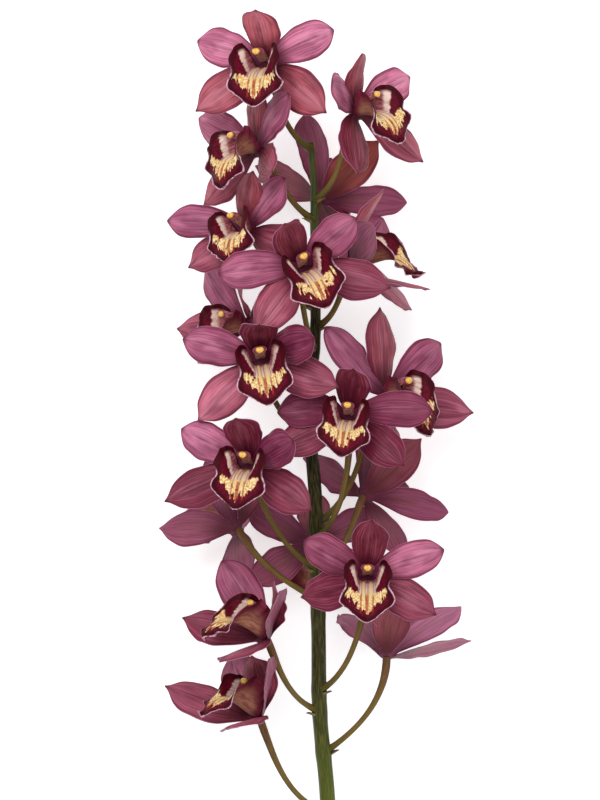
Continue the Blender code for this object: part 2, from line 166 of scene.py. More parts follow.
# The blooms from the top down: centre (across, along, above the table), turn to the right, tilt
# up the stem, roll to the left, size, and where along the stem the stalk leaves it.
BLOOMS = {
    "01": ((-22, 610, 92), (-15, 2, 1), 0.97, 558),
    "02": ((37, 581, 80), (39, 12, 13), 0.94, 525),
    "03": ((-28, 557, 78), (-47, 6, 3), 0.97, 512),
    "04": ((14, 527, 42), (145, 30, 55), 1.0, 473),
    "05": ((35, 481, 63), (62, 36, 17), 1.0, 442),
    "06": ((-34, 505, 74), (-29, 10, 11), 0.9, 455),
    "07": ((2, 479, 100), (6, 5, 23), 0.98, 428),
    "08": ((-35, 443, 48), (-53, 8, -15), 0.93, 405),
    "09": ((-25, 420, 97), (1, 4, 9), 0.97, 368),
    "10": ((56, 398, 56), (40, 10, 9), 1.03, 315),
    "11": ((31, 384, 92), (-4, 8, -6), 0.92, 306),
    "12": ((-33, 353, 97), (-10, 6, -5), 0.95, 285),
    "13": ((-42, 312, 50), (-140, 25, 28), 1.0, 265),
    "14": ((9, 300, 34), (180, -20, 0), 0.9, 256),
    "15": ((43, 333, 44), (140, 30, 55), 1.0, 282),
    "16": ((43, 282, 98), (-1, 5, -1), 0.93, 205),
    "17": ((-23, 243, 76), (-47, 46, -18), 1.06, 191),
    "18": ((-28, 191, 62), (-44, 48, -8), 1.06, 122),
    "19": ((57, 229, 46), (166, 62, 8), 1.01, 163),
}


def smooth(low, high, value):
    """0 up to low, 1 from high on, and a soft step between."""
    share = min(1.0, max(0.0, (value - low) / (high - low)))
    return share * share * (3 - 2 * share)


def bell(value, middle, reach):
    """1 at the middle, fading softly to nothing a little over twice the reach away."""
    return exp(-(((value - middle) / reach) ** 2))


def waver(x, y, z):
    """A smooth random number between -1 and 1, always the same at the same place."""
    return noise.noise(Vector((x, y, z)))


def between(table, place):
    """The value at a place, from rows of (place, value)."""
    for (low, first), (high, second) in zip(table, table[1:]):
        if place <= high:
            share = max(0.0, (place - low) / (high - low))
            return first + (second - first) * share
    return table[-1][1]


def along_line(points, share):
    """The point at a share of a smooth curve through evenly counted points."""
    points = [Vector(p) for p in points]
    place = min(max(share, 0.0), 1.0) * (len(points) - 1)
    i = min(int(place), len(points) - 2)
    t = place - i
    p1, p2 = points[i], points[i + 1]
    p0 = points[i - 1] if i else p1 * 2 - p2
    p3 = points[i + 2] if i + 2 < len(points) else p2 * 2 - p1
    straight = p1 * 2 + (p2 - p0) * t
    curved = (p0 * 2 - p1 * 5 + p2 * 4 - p3) * t**2 + (p1 * 3 - p0 - p2 * 3 + p3) * t**3
    return 0.5 * (straight + curved)


def stem_point(y):
    """The point of the stem's axis at a distance along the table."""
    low, high = 0.0, 1.0
    for _ in range(30):
        middle = (low + high) / 2
        if along_line(STEM_LINE, middle).y < y:
            low = middle
        else:
            high = middle
    return along_line(STEM_LINE, low)


def turned(angles):
    """The rotation of a bloom that faces up out of the table and is then rolled, tilted, turned."""
    turn, tilt, roll = (radians(a) for a in angles)
    return (
        Matrix.Rotation(turn, 3, "Y")
        @ Matrix.Rotation(-tilt, 3, "X")
        @ Matrix.Rotation(roll, 3, "Z")
    )


def new_piece(name, mesh_data, finish, smoothing=0):
    """A bmesh in layout millimetres becomes a smooth piece in metres, none of it below the table."""
    for vertex in mesh_data.verts:
        vertex.co = (vertex.co - LAYOUT_MIDDLE) * MM
        vertex.co.z = max(0.0, vertex.co.z)
    bmesh.ops.recalc_face_normals(mesh_data, faces=mesh_data.faces)
    for face in mesh_data.faces:
        face.smooth = True
    mesh = bpy.data.meshes.new(name)
    mesh_data.to_mesh(mesh)
    mesh_data.free()
    mesh.materials.append(finish)
    piece = placed(name, mesh)
    if smoothing:
        rounding = piece.modifiers.new("rounding", "SUBSURF")
        rounding.levels = smoothing
        rounding.render_levels = smoothing
    return piece


def tube(mesh_data, rings):
    """Quads round a row of rings of vertices, with both ends closed."""
    for low, high in zip(rings, rings[1:]):
        for k in range(len(low)):
            n = (k + 1) % len(low)
            mesh_data.faces.new((low[k], low[n], high[n], high[k]))
    mesh_data.faces.new(rings[0][::-1])
    mesh_data.faces.new(rings[-1])


def grown_shoot(points, sides, radius_at, marks_at, last_normal=None):
    """A closed tube through points, with radius_at(share, turn) and marks_at(share, point)."""
    mesh_data = bmesh.new()
    strand = mesh_data.verts.layers.float_vector.new("strand")
    growth = mesh_data.verts.layers.float_vector.new("growth")
    rings = []
    across = Vector((0, 0, 1))
    for i, point in enumerate(points):
        share = i / (len(points) - 1)
        along = (points[min(i + 1, len(points) - 1)] - points[max(i - 1, 0)]).normalized()
        if last_normal is not None and i == len(points) - 1:
            along = last_normal
        across = (across - along * across.dot(along)).normalized()
        beside = along.cross(across)
        ring = []
        for k in range(sides):
            turn = tau * (k + 0.5) / sides
            offset = across * cos(turn) + beside * sin(turn)
            vertex = mesh_data.verts.new(point + offset * radius_at(share, turn))
            vertex[strand] = (cos(turn), sin(turn), (point - points[0]).length / STREAK_LENGTH)
            vertex[growth] = marks_at(share, point)
            ring.append(vertex)
        rings.append(ring)
    tube(mesh_data, rings)
    return mesh_data


def stalk_points(start_y, seat, facing):
    """The stalk's curve from the stem's axis to the seat behind a bloom."""
    start = stem_point(start_y)
    span = (seat - start).length
    stem_way = (stem_point(start_y + 5) - start).normalized()
    across = seat - start
    across = (across - stem_way * across.dot(stem_way)).normalized()
    first = start + (across * 0.8 + stem_way * 0.4).normalized() * span * STALK_PULLS[0]
    last = seat - (facing * 0.7 + stem_way * 0.5).normalized() * span * STALK_PULLS[1]
    points = []
    for step in range(STALK_STEPS + 1):
        t = step / STALK_STEPS
        inner = first * 3 * t * (1 - t) ** 2 + last * 3 * t**2 * (1 - t)
        points.append(start * (1 - t) ** 3 + inner + seat * t**3)
    return points


def paint(red, green, blue):
    """A colour as the eye reads it, 0 to 255, as the linear values that the shaders mix."""
    return (*(((part / 255 + 0.055) / 1.055) ** 2.4 for part in (red, green, blue)), 1.0)


class Finish:
    """A material, with short names for the nodes that its pattern is built from."""

    def __init__(self, name, roughness, shine=0.5):
        self.material = bpy.data.materials.new(name)
        self.material.use_nodes = True
        self.tree = self.material.node_tree
        self.shader = self.tree.nodes["Principled BSDF"]
        self.body = None
        set_sockets(self.shader, {"Roughness": roughness, "Specular IOR Level": shine})

    def node(self, kind, inputs, settings=()):
        made = self.tree.nodes.new("ShaderNode" + kind)
        for setting, value in settings:
            setattr(made, setting, value)
        for socket, value in inputs.items():
            if isinstance(value, bpy.types.NodeSocket):
                self.tree.links.new(value, made.inputs[socket])
            else:
                made.inputs[socket].default_value = value
        return made

    def read(self, attribute):
        """The three numbers that each point of the mesh carries under a name."""
        marks = self.node("Attribute", {}, (("attribute_name", attribute),))
        return self.node("SeparateXYZ", {0: marks.outputs["Vector"]}).outputs

    def place(self, x, y, z=0.0):
        return self.node("CombineXYZ", {0: x, 1: y, 2: z}).outputs[0]

    def maths(self, operation, first, second=0.0):
        made = self.node("Math", {0: first, 1: second}, (("operation", operation),))
        return made.outputs[0]

    def times(self, first, *others):
        for other in others:
            first = self.maths("MULTIPLY", first, other)
        return first

    def plus(self, first, second):
        return self.maths("ADD", first, second)

    def minus(self, first, second):
        return self.maths("SUBTRACT", first, second)

    def rise(self, value, low, high):
        """0 up to low and 1 from high on; the other way round where low is the greater."""
        ends = (high, low, 1, 0) if low > high else (low, high, 0, 1)
        inputs = dict(enumerate((value, *ends)))
        made = self.node("MapRange", inputs, (("interpolation_type", "SMOOTHSTEP"),))
        return made.outputs[0]

    def mix(self, share, first, second, most=1):
        """The first colour with a share of the second let in, at most up to a part."""
        if most < 1:
            share = self.times(share, most)
        made = self.node("Mix", {0: share, 6: first, 7: second}, (("data_type", "RGBA"),))
        return made.outputs[2]

    def grain(self, place, scale, detail=2.0):
        inputs = {"Vector": place, "Scale": scale, "Detail": detail}
        return self.node("TexNoise", inputs).outputs["Fac"]

    def from_dots(self, place, scale):
        """How far each point is from the nearest of many scattered dots."""
        return self.node("TexVoronoi", {"Vector": place, "Scale": scale}).outputs["Distance"]

    def lay(self, share, colour, most=1):
        """A colour over what lies there already, as far as the share lets it."""
        self.body = self.mix(share, self.body, colour, most)

    def coloured(self):
        """The finished material, in the colours laid so far."""
        self.tree.links.new(self.body, self.shader.inputs["Base Color"])
        return self.material

    def rough(self, grain, least, spread):
        """The grain makes the skin rougher, from the least roughness up."""
        value = self.plus(self.times(grain, spread), least)
        self.tree.links.new(value, self.shader.inputs["Roughness"])

    def relief(self, height, strength, depth):
        """Fine relief: the height runs from 0 to 1 over a depth in metres."""
        made = self.node("Bump", {"Height": height, "Strength": strength, "Distance": depth})
        self.tree.links.new(made.outputs[0], self.shader.inputs["Normal"])


def waxy_green():
    """Olive green, darker up the stem with painted shade where the blooms hang over it, flushed with
    brown towards the blooms, and finely ribbed.
    """
    finish = Finish("waxy_green", 0.42, 0.12)
    round_x, round_y, length = finish.read("strand")
    to_bloom, on_stalk, up_stem = finish.read("growth")
    streaks = finish.grain(finish.place(round_x, round_y, length), 7.0, 4.0)
    blotches = finish.grain(finish.place(round_x, round_y, finish.times(length, 6.0)), 1.6)
    # Light olive below the blooms. Further up, the darker tones are painted shade from the blooms over the
    # stem: near black in the middle and dark green near the top.
    stem = finish.mix(finish.rise(up_stem, 0.0, 0.2), paint(88, 106, 26), paint(72, 84, 28))
    stem = finish.mix(finish.rise(up_stem, 0.2, 0.36), stem, paint(42, 45, 20))
    stem = finish.mix(finish.rise(up_stem, 0.45, 0.6), stem, paint(18, 18, 8))
    stem = finish.mix(finish.rise(up_stem, 0.68, 0.82), stem, paint(42, 62, 28))
    stalk = finish.mix(finish.rise(to_bloom, 0.0, 0.3), paint(62, 60, 18), paint(110, 88, 42))
    stalk = finish.mix(finish.rise(to_bloom, 0.5, 1.0), stalk, paint(108, 68, 46))
    # Painted shade: each stalk is darker on its flanks, where its round side turns away from the light
    # overhead.
    sides = finish.rise(finish.maths("ABSOLUTE", round_x), 0.75, 0.25)
    stalk = finish.mix(sides, stalk, paint(44, 30, 14), 0.8)
    finish.body = finish.mix(on_stalk, stem, stalk)
    finish.lay(finish.rise(streaks, 0.42, 0.68), finish.mix(0.25, finish.body, paint(150, 132, 60)))
    browning = finish.plus(finish.times(on_stalk, 0.3), 0.15)
    finish.lay(finish.times(finish.rise(blotches, 0.5, 0.75), browning), paint(60, 38, 28))
    finish.rough(streaks, 0.28, 0.25)
    finish.relief(streaks, 0.5, 0.0006)
    return finish.coloured()


def stem_radius(share, turn):
    """The main stem: a little ribbed, and swollen where a stalk leaves it."""
    point = along_line(STEM_LINE, share)
    radius = between(STEM_RADII, point.y)
    swelling = sum(bell(point.y, start_y, SWELLING_REACH) for _, _, _, start_y in BLOOMS.values())
    ribs = cos(turn * STEM_RIBS + 1.5 * sin(point.y / 90)) * STEM_RIB_DEPTH
    bumps = waver(cos(turn), sin(turn), point.y / 40) * STEM_UNEVENNESS
    return radius * (1 + ribs + bumps) + STEM_SWELLING * min(1.0, swelling)


def stalk_radius(span):
    """A stalk flares into the stem, is slim in the middle and ends in the ribbed ovary."""

    def radius_at(share, turn):
        ribs = cos(turn * STALK_RIBS + share * 2.2) * STALK_RIB_DEPTH * smooth(0.45, 0.8, share)
        flare = STALK_FLARE * exp(-share * span / FLARE_REACH)
        along = share * span / 15
        bumps = waver(cos(turn), sin(turn), along) * STALK_UNEVENNESS
        return between(STALK_RADII, share) * (1 + ribs + bumps) + flare

    return radius_at


def joined_shoots(trunk, shoots):
    """The trunk's mesh in one with its shoots' meshes. The join drops the shoots' marks, so each
    point takes them back from the nearest point there was before."""
    before = []
    for piece in (trunk, *shoots.objects):
        strands, growths = (piece.data.attributes[name].data for name in ("strand", "growth"))
        for vertex, strand, growth in zip(piece.data.vertices, strands, growths):
            before.append((vertex.co.copy(), strand.vector.copy(), growth.vector.copy()))
    nearest = kdtree.KDTree(len(before))
    for i, (point, _, _) in enumerate(before):
        nearest.insert(point, i)
    nearest.balance()
    join = trunk.modifiers.new("join", "BOOLEAN")
    join.operation = "UNION"
    join.solver = "EXACT"
    join.operand_type = "COLLECTION"
    join.collection = shoots
    bpy.context.view_layer.update()
    mesh = bpy.data.meshes.new_from_object(trunk.evaluated_get(bpy.context.evaluated_depsgraph_get()))
    trunk.modifiers.clear()
    strands, growths = (mesh.attributes[name].data for name in ("strand", "growth"))
    for vertex, strand, growth in zip(mesh.vertices, strands, growths):
        _, strand.vector, growth.vector = before[nearest.find(vertex.co)[1]]
    return mesh


green = waxy_green()
stem_points = [along_line(STEM_LINE, i / STEM_STEPS) for i in range(STEM_STEPS + 1)]
stem = new_piece(
    "flower_stem",
    grown_shoot(stem_points, STEM_SIDES, stem_radius, lambda share, point: (0, 0, point.y / SPRAY_LENGTH)),
    green,
)
grown = bpy.data.collections.new("grown_from_stem")
bpy.context.scene.collection.children.link(grown)
stalks = {}
for number, (centre, angles, size, start_y) in BLOOMS.items():
    rotation = turned(angles)
    seat = Vector(centre) + rotation @ Vector((0, 0, HUB_BACK * size))
    facing = rotation @ Vector((0, 0, 1))
    points = stalk_points(start_y, seat, facing)
    stalks[number] = points
    radius_at = stalk_radius((seat - points[0]).length)
    stalk = new_piece(
        "stalk_" + number,
        grown_shoot(points, STALK_SIDES, radius_at, lambda share, point: (share, 1, 0), facing),
        green,
    )
    bpy.context.scene.collection.objects.unlink(stalk)
    grown.objects.link(stalk)
joined = joined_shoots(stem, grown)
stem.data = joined
joined.set_sharp_from_angle(angle=radians(SHARP_ANGLE))
for stalk in list(grown.objects):
    bpy.data.objects.remove(stalk)
bpy.data.collections.remove(grown)
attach(stem, "root")
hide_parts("stem")


# Bracts: small papery scales, one clasping each stalk where it leaves the stem. They grew there,
# and by the time the blooms open they are dry, thin and brown at the point.
BRACT_LENGTH = 7.5
BRACT_HALF_WIDTH = 2.6
BRACT_POINT = 0.12
BRACT_THICK = 0.35
BRACT_CUP = 75
BRACT_BOW = 0.8
BRACT_LEAN = 0.45
BRACT_SUNK = 0.9
BRACT_BELOW = 2.9
BRACT_ROWS = 8
BRACT_COLUMNS = (-1, -0.6, -0.2, 0.2, 0.6, 1)


def skin(mesh_data, front, back, ends=((0, False), (-1, True))):
    """Quads round a blade whose rows of front and back vertices are given, and over its ends."""
    for i in range(len(front) - 1):
        for j in range(len(front[i]) - 1):
            for rows, flip in ((front, False), (back, True)):
                corners = (rows[i][j], rows[i][j + 1], rows[i + 1][j + 1], rows[i + 1][j])
                mesh_data.faces.new(corners[::-1] if flip else corners)
        for j, flip in ((0, True), (-1, False)):
            corners = (front[i][j], back[i][j], back[i + 1][j], front[i + 1][j])
            mesh_data.faces.new(corners[::-1] if flip else corners)
    for i, flip in ends:
        for j in range(len(front[i]) - 1):
            corners = (front[i][j], front[i][j + 1], back[i][j + 1], back[i][j])
            mesh_data.faces.new(corners[::-1] if flip else corners)


def dry_scale():
    """Thin dry skin: straw green at the foot, brown at the point, with fine lengthwise lines."""
    finish = Finish("dry_scale", 0.6)
    across, along, _ = finish.read("scale")
    lines = finish.grain(finish.place(finish.times(across, 9.0), along), 2.0, 3.0)
    finish.body = finish.mix(finish.rise(along, 0.2, 0.95), paint(120, 112, 62), paint(112, 70, 48))
    finish.lay(finish.rise(lines, 0.45, 0.7), paint(86, 58, 40))
    finish.relief(lines, 0.6, 0.0003)
    return finish.coloured()


bract_mesh = bmesh.new()
scale = bract_mesh.verts.layers.float_vector.new("scale")
for number, (_, _, _, start_y) in BLOOMS.items():
    start = stem_point(start_y)
    stem_way = (stem_point(start_y + 2) - start).normalized()
    out = stalks[number][10] - start
    out = (out - stem_way * out.dot(stem_way)).normalized()
    beside = stem_way.cross(out)
    foot = start + out * (between(STEM_RADII, start_y) - BRACT_SUNK) - stem_way * BRACT_BELOW
    leaning = (out + stem_way * BRACT_LEAN).normalized()
    front, back = [], []
    for i in range(BRACT_ROWS):
        share = i / (BRACT_ROWS - 1)
        width = BRACT_HALF_WIDTH * (1 - share**1.8) + BRACT_POINT
        bowed = sin(share * pi / 2)
        middle = foot + leaning * BRACT_LENGTH * share + stem_way * BRACT_BOW * bowed
        row = []
        for t in BRACT_COLUMNS:
            cup = radians(BRACT_CUP) * t
            offset = beside * sin(cup) * width + stem_way * (1 - cos(cup)) * width
            row.append(middle + offset)
        for rows, shift in ((front, 0.5), (back, -0.5)):
            made = []
            for t, point in zip(BRACT_COLUMNS, row):
                vertex = bract_mesh.verts.new(point + stem_way * BRACT_THICK * shift)
                vertex[scale] = (t, share, 0)
                made.append(vertex)
            rows.append(made)
    skin(bract_mesh, front, back)
bracts = new_piece("bracts", bract_mesh, dry_scale(), 1)
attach(bracts, "root")


# The cut end: a clean cut straight across the stem leaves a pale moist face, with the ends of its
# strands showing as darker dots in a ring of green skin.
CUT_RADIUS = 5.2
CUT_STEPS = 5
CUT_SIDES = 28


def cut_pith():
    """Pale pith with the dots of the strands, darker towards the skin."""
    finish = Finish("cut_pith", 0.35)
    across, along, out = finish.read("cut")
    dots = finish.from_dots(finish.place(across, along), 7.0)
    finish.body = finish.mix(finish.rise(out, 0.75, 1.0), paint(196, 204, 158), paint(104, 112, 54))
    finish.lay(finish.rise(dots, 0.32, 0.12), paint(122, 126, 76), 0.6)
    finish.relief(dots, 0.5, 0.0004)
    return finish.coloured()


cut_mesh = bmesh.new()
cut = cut_mesh.verts.layers.float_vector.new("cut")
stem_start = along_line(STEM_LINE, 0)
down_stem = (stem_start - along_line(STEM_LINE, 0.01)).normalized()
across = Vector((0, 0, 1))
across = (across - down_stem * across.dot(down_stem)).normalized()
beside = down_stem.cross(across)
rings = []
for ring_out, forward in [(1.0, -0.3), *((1 - i / CUT_STEPS, 0.3) for i in range(CUT_STEPS))]:
    ring = []
    for k in range(CUT_SIDES):
        turn = tau * (k + 0.5) / CUT_SIDES
        offset = across * cos(turn) + beside * sin(turn)
        dome = forward * (1 - 0.5 * ring_out**6)
        vertex = cut_mesh.verts.new(stem_start + offset * CUT_RADIUS * ring_out + down_stem * dome)
        vertex[cut] = (cos(turn) * ring_out, sin(turn) * ring_out, ring_out)
        ring.append(vertex)
    rings.append(ring)
tube(cut_mesh, rings)
cut_face = new_piece("cut_face", cut_mesh, cut_pith())
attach(cut_face, "root")


# Tepals: three sepals and two petals to a bloom, thick and waxy, joined round a small hub. They
# are mauve and rose with fine lengthwise veins and duller outside, with a painted highlight along
# the middle and a thin edge painted paler for the light that shines through it.
TEPAL_ROWS = 22
TEPAL_COLUMNS = 11
TEPAL_CROWDING = 1.35
TEPAL_THICK = 1.0
EDGE_THICK = 0.42
RIB_GROOVE = 0.55
RIB_KEEL = 0.45
RIPPLE = 2.6
FINE_RIPPLE = 1.1
CLAW_SHARE = 0.27
CLAW_HALF_WIDTH = 0.35
EDGE_UNEVENNESS = 0.1
MIDRIB_STEPS = 42
HUB_RADIUS = 5.2
HUB_FRONT = 0.7
HUB_SEAT_RADIUS = 2.9
# Where a tepal is widest, how blunt its outer half is, and how far its tip narrows.
SEPAL_SHAPE = (0.5, 0.85, 0.62)
PETAL_SHAPE = (0.6, 0.62, 0.25)
# A row for each tepal: turn round the bloom, length, half width, tilt at the base and at the tip,
# curl across, and height on the hub. STAR has them in the order that they stand round the hub.
TEPALS = {
    "dorsal": (0, 51, 13.5, 34, 28, 30, -0.6),
    "petal_left": (58, 52, 13, 28, 4, 16, 0.9),
    "petal_right": (-58, 52, 13, 28, 4, 16, 0.9),
    "sepal_left": (122, 52, 14, 22, 0, 20, -0.6),
    "sepal_right": (-122, 52, 14, 22, 0, 20, -0.6),
}
STAR = ("dorsal", "petal_right", "sepal_right", "sepal_left", "petal_left")

# How each tepal differs from the common bloom, in the order of TEPALS: swing, extra tilt at the
# base and at the tip, and the share of the common length.
COMMON = (0, 0, 0, 1)
BENDS = {
    "01": (
        (-10, 17, 34, 0.91), (15, -2, -22, 0.88), (-15, -1, -3, 0.97), (3, 3, 2, 0.99), (-9, -2, -2, 0.99),
    ),
    "02": (
        (20, 12, 20, 0.86), (9, 14, 23, 0.95), (-21, -4, -13, 0.95), (28, 5, 10, 1.02), (-23, -5, -1, 1.07),
    ),
    "03": ((-30, 2, -20, 0.83), (6, -2, -6, 0.96), COMMON, (9, -3, -3, 1), (4, 13, 23, 0.96)),
    "04": (COMMON, (0, 16, 16, 1), COMMON, COMMON, COMMON),
    "05": (
        (-7, 28, 44, 1.08), (19, 26, 46, 1), (-16, 16, 18, 0.82), (37, 23, 39, 1.15), (-25, -10, -12, 1.03),
    ),
    "06": ((-38, 6, -6, 0.82), (22, 1, 7, 1.06), (-4, 5, 7, 0.95), (-11, 2, -3, 0.91), (0, -10, -10, 0.95)),
    "07": ((16, 20, 37, 0.92), (18, -6, -6, 1.02), (-15, 12, 8, 0.86), (-2, 1, 2, 0.96), (-6, -3, 0, 1.04)),
    "08": ((-41, 15, 14, 0.86), COMMON, COMMON, (-16, 10, 20, 1.03), (-12, -8, -8, 0.95)),
    "09": ((-8, 28, 53, 0.94), (11, 1, 0, 0.97), (-29, 25, 34, 0.88), (4, -4, -2, 1.03), (4, 5, 9, 1)),
    "10": (
        (4, -9, -14, 1.03), (-27, -18, -14, 1.12), (-5, -2, -6, 0.96), (29, 12, 21, 1.01), (9, 8, 19, 1.06),
    ),
    "11": ((-7, 19, 38, 0.92), (46, 3, -8, 0.91), (-29, -9, -8, 1.07), COMMON, (-5, 2, 2, 0.96)),
    "12": ((11, 21, 39, 0.94), (11, 4, -2, 0.91), (-7, 21, 34, 0.91), (-3, -3, 3, 1.09), (4, 0, 0, 0.98)),
    "13": (COMMON, (0, 25, 25, 1), COMMON, COMMON, COMMON),
    "14": (COMMON, COMMON, (0, -14, -14, 1), COMMON, (0, -10, -10, 1)),
    "15": (COMMON, COMMON, (10, 28, 20, 1), COMMON, COMMON),
    "16": ((-5, 11, 20, 0.94), (5, 6, 6, 0.93), (-15, -3, -2, 1.01), (-17, 11, 13, 0.9), (5, 1, 0, 0.97)),
    "17": (
        (-16, 14, 34, 0.68), (14, 17, 34, 1), (-7, 23, 41, 0.88), (-1, 12, 26, 0.97), (-30, 15, 26, 0.92),
    ),
    "18": (
        (22, 22, 32, 0.66), (-3, 1, 3, 0.9), (-5, 27, 55, 0.88), (-10, 19, 37, 1.08), (-28, 20, 33, 0.92),
    ),
    "19": ((11, -1, -2, 0.98), (3, 6, 16, 1.05), (27, 4, -12, 0.84), (-17, 8, 17, 1.06), (2, 24, 40, 1)),
}
# How pale each tepal is, in the same order, from 0 for deep wine to 1 for light rose. Sepals are
# redder than petals, and the top blooms redder than the rest.
PALENESS = {
    "01": (1, 1, 1, 0.6, 0.52),
    "02": (0.45, 0.6, 1, 0.04, 0.5),
    "03": (0.4, 0.8, 0.4, 0.5, 0.35),
    "04": (0.4, 0.4, 0.45, 0.35, 0.4),
    "05": (0.5, 0.55, 0.5, 0.4, 0.35),
    "06": (0.35, 0.48, 0.5, 0.46, 0.35),
    "07": (0.25, 0.54, 0.38, 0.5, 0.18),
    "08": (0.35, 0.5, 0.4, 0.55, 0.4),
    "09": (0.08, 0.55, 0.1, 0.8, 0.34),
    "10": (0.3, 0.55, 0.36, 0.4, 0.42),
    "11": (0.05, 0.12, 0.08, 0.2, 0),
    "12": (0.1, 0.85, 0.1, 0.1, 0.17),
    "13": (0.7, 0.7, 0.7, 0.8, 0.7),
    "14": (0.5, 0.5, 0.45, 0.5, 0.4),
    "15": (0.5, 0.45, 0.55, 0.45, 0.45),
    "16": (0.1, 0.26, 0.74, 0.05, 0.3),
    "17": (0.3, 0.4, 0.35, 0.14, 0.4),
    "18": (0.3, 0.4, 0.4, 0.4, 0.5),
    "19": (0.35, 0.9, 0.5, 0.6, 0.45),
}
REDNESS = {"dorsal": 0.9, "petal_left": 0.1, "petal_right": 0.1, "sepal_left": 0.6, "sepal_right": 0.6}


def tepal_half_width(s, half_width, is_sepal):
    """Half the blade's width at a share of its length: a claw, widest past the middle, a point."""
    widest, bluntness, narrowing = SEPAL_SHAPE if is_sepal else PETAL_SHAPE
    if s < widest:
        share = CLAW_SHARE + (1 - CLAW_SHARE) * sin(pi / 2 * s / widest)
    else:
        share = (1 - ((s - widest) / (1 - widest)) ** 2.3) ** bluntness
        share *= 1 - narrowing * smooth(0.84, 1.0, s)
    return max(CLAW_HALF_WIDTH, half_width * share)


def midrib(kind, bend):
    """Share, point, side and front direction at each row of a tepal."""
    angle, length, _, tilt_base, tilt_tip, _, height = TEPALS[kind]
    swing, more_base, more_tip, length_share = bend
    tilt_base += more_base
    tilt_tip += more_tip
    point = None
    frames = []
    for step in range(MIDRIB_STEPS + 1):
        s = step / MIDRIB_STEPS
        turn = radians(angle + swing * smooth(-0.3, 0.6, s))
        tilt = radians(tilt_base + (tilt_tip - tilt_base) * smooth(0, 1, s))
        outward = Vector((-sin(turn), cos(turn), 0))
        side = Vector((cos(turn), sin(turn), 0))
        along = outward * cos(tilt) + Vector((0, 0, sin(tilt)))
        if point is None:
            point = outward * HUB_RADIUS + Vector((0, 0, height))
        else:
            point = point + along * (length * length_share / MIDRIB_STEPS)
        if step % (MIDRIB_STEPS // (TEPAL_ROWS - 1)) == 0:
            frames.append((s, point.copy(), side, side.cross(along)))
    return frames


def tepal_points(kind, bend, character, place):
    """Front and back rows of (point, across, along), pressed flat where it meets the table."""
    _, _, half_width, _, _, curl, _ = TEPALS[kind]
    is_sepal = not kind.startswith("petal")
    columns = [
        sin(TEPAL_CROWDING * (2 * j / (TEPAL_COLUMNS - 1) - 1)) / sin(TEPAL_CROWDING)
        for j in range(TEPAL_COLUMNS)
    ]
    front, back = [], []
    for s, point, side, normal in midrib(kind, bend):
        width = tepal_half_width(s, half_width, is_sepal)
        bow = radians(curl) * smooth(0, 0.35, s)
        free = smooth(0.12, 0.45, s)
        rows = ([], [])
        for t in columns:
            out = width * (sin(bow * t) / bow if bow else t)
            down = width * ((1 - cos(bow * t)) / bow if bow else 0)
            ripple = waver(t * 0.8 + character, s * 4.2, character * 3.1) * RIPPLE
            ripple += waver(t * 1.4, s * 9.0 + character, 5.0) * FINE_RIPPLE
            ripple *= free * abs(t) ** 1.6 * smooth(0, 5, width)
            out *= 1 + EDGE_UNEVENNESS * free * waver(t * 0.6, s * 6, character + 9)
            middle = point + side * out - normal * (down - ripple)
            fold = bell(t, 0, 0.16) * (1 - 0.75 * s)
            half = (EDGE_THICK + (TEPAL_THICK - EDGE_THICK) * (1 - abs(t) ** 2.5)) / 2
            pair = [
                place(middle + normal * (half - RIB_GROOVE * fold)),
                place(middle - normal * (half + RIB_KEEL * fold)),
            ]
            lift = max(0.0, -min(pair[0].z, pair[1].z))
            for row, corner in zip(rows, pair):
                row.append((corner + Vector((0, 0, lift)), t, s))
        front.append(rows[0])
        back.append(rows[1])
    return front, back


def build_tepals(name, number, place, finish):
    """Five tepals joined round a small hub, which ends behind in the seat of the stalk."""
    mesh_data = bmesh.new()
    blade = mesh_data.verts.layers.float_vector.new("blade")
    tone = mesh_data.verts.layers.float_vector.new("tone")
    rims = []
    bends = dict(zip(TEPALS, BENDS[number]))
    paleness = dict(zip(TEPALS, PALENESS[number]))

    def grow(rows, is_front, look):
        made = []
        for row in rows:
            made.append([])
            for point, across, along in row:
                vertex = mesh_data.verts.new(point)
                vertex[blade] = (across, along, is_front)
                vertex[tone] = look
                made[-1].append(vertex)
        return made

    for order, kind in enumerate(STAR):
        character = int(number) * 7.3 + order * 1.9
        front, back = tepal_points(kind, bends[kind], character, place)
        wobble = waver(character, 0, 0)
        redness = REDNESS[kind] * (1.5 - 0.5 * smooth(2, 8, int(number))) + wobble * 0.2
        look = (paleness[kind], redness, character)
        front, back = grow(front, 1, look), grow(back, 0, look)
        skin(mesh_data, front, back, ends=((-1, True),))
        rims.append((front[0], back[0]))
    middle = mesh_data.verts.new(place(Vector((0, 0, HUB_FRONT))))
    middle[blade], middle[tone] = (0, 0, 1), look
    seat = []
    for k in range(len(rims)):
        (front, back), (next_front, next_back) = rims[k], rims[(k + 1) % len(rims)]
        for j in range(len(front) - 1):
            mesh_data.faces.new((middle, front[j + 1], front[j]))
        mesh_data.faces.new((middle, next_front[0], front[-1]))
        mesh_data.faces.new((front[-1], next_front[0], next_back[0], back[-1]))
        turn = radians(TEPALS[STAR[k]][0])
        outward = Vector((-sin(turn), cos(turn), 0))
        corner = mesh_data.verts.new(place(outward * HUB_SEAT_RADIUS + Vector((0, 0, HUB_BACK))))
        corner[blade], corner[tone] = (0, 0, 0), look
        seat.append(corner)
    for k in range(len(rims)):
        back, next_back = rims[k][1], rims[(k + 1) % len(rims)][1]
        for j in range(len(back) - 1):
            mesh_data.faces.new((seat[k], back[j], back[j + 1]))
        mesh_data.faces.new((seat[k], back[-1], seat[(k + 1) % len(seat)]))
        mesh_data.faces.new((seat[(k + 1) % len(seat)], back[-1], next_back[0]))
    mesh_data.faces.new(seat)
    return new_piece(name, mesh_data, finish, 1)


